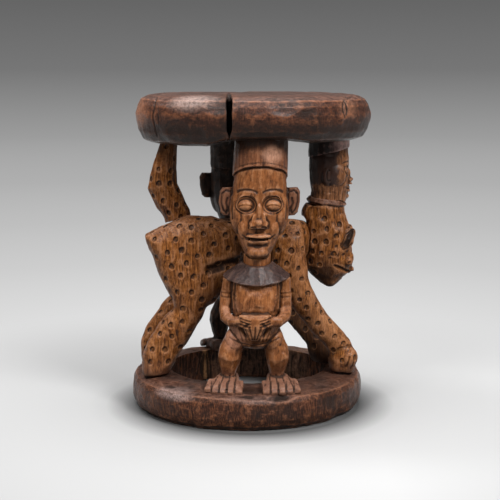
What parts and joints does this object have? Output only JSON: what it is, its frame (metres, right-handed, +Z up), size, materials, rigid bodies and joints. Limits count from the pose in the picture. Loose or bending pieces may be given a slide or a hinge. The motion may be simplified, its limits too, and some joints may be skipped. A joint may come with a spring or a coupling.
{
  "type": "carved wooden stool",
  "caption": "Round wooden stool whose thick seat is carried over an open ring base by carved standing figures and a spotted leopard.",
  "frame": {"origin": "on the floor, under the middle of the whole stool", "axes": "+Z up; the front figure faces -Y; the leopard and the small head on its neck face +X"},
  "size_m": [0.308, 0.3, 0.4],
  "materials": {
    "seat_wood": "dark red-brown, hand-rubbed and worn to a satin sheen",
    "base_wood": "dark red-brown, worn, duller than the seat",
    "figure_wood": "warm orange-brown, tool-faceted, satin on the high places",
    "collar_wood": "dark grey-brown stain, satin",
    "leopard_wood": "mid brown, upright grain, punched spots, dull"
  },
  "bodies": {
    "root": {"seat_slab": "seat_wood", "base_ring": "base_wood", "front_cap": "figure_wood", "front_head": "figure_wood", "front_ear_left": "figure_wood", "front_ear_right": "figure_wood", "front_neck": "figure_wood", "front_collar": "collar_wood", "front_torso": "figure_wood", "front_arm_left": "figure_wood", "front_arm_right": "figure_wood", "front_hands": "figure_wood", "front_loincloth": "figure_wood", "front_leg_left": "figure_wood", "front_leg_right": "figure_wood", "front_foot_left": "figure_wood", "front_foot_right": "figure_wood", "rear_cap": "figure_wood", "rear_head": "figure_wood", "rear_ear_left": "figure_wood", "rear_ear_right": "figure_wood", "rear_neck": "figure_wood", "rear_collar": "collar_wood", "rear_torso": "figure_wood", "rear_arm_left": "figure_wood", "rear_arm_right": "figure_wood", "rear_hands": "figure_wood", "rear_loincloth": "figure_wood", "rear_leg_left": "figure_wood", "rear_leg_right": "figure_wood", "rear_foot_left": "figure_wood", "rear_foot_right": "figure_wood", "leopard_trunk": "leopard_wood", "leopard_hind_leg_left": "leopard_wood", "leopard_hind_leg_right": "leopard_wood", "leopard_fore_leg_left": "leopard_wood", "leopard_fore_leg_right": "leopard_wood", "leopard_tail": "leopard_wood", "leopard_head": "leopard_wood", "leopard_neck": "leopard_wood", "side_collar": "collar_wood", "side_head": "figure_wood", "side_cap": "figure_wood"}
  },
  "joints": []
}
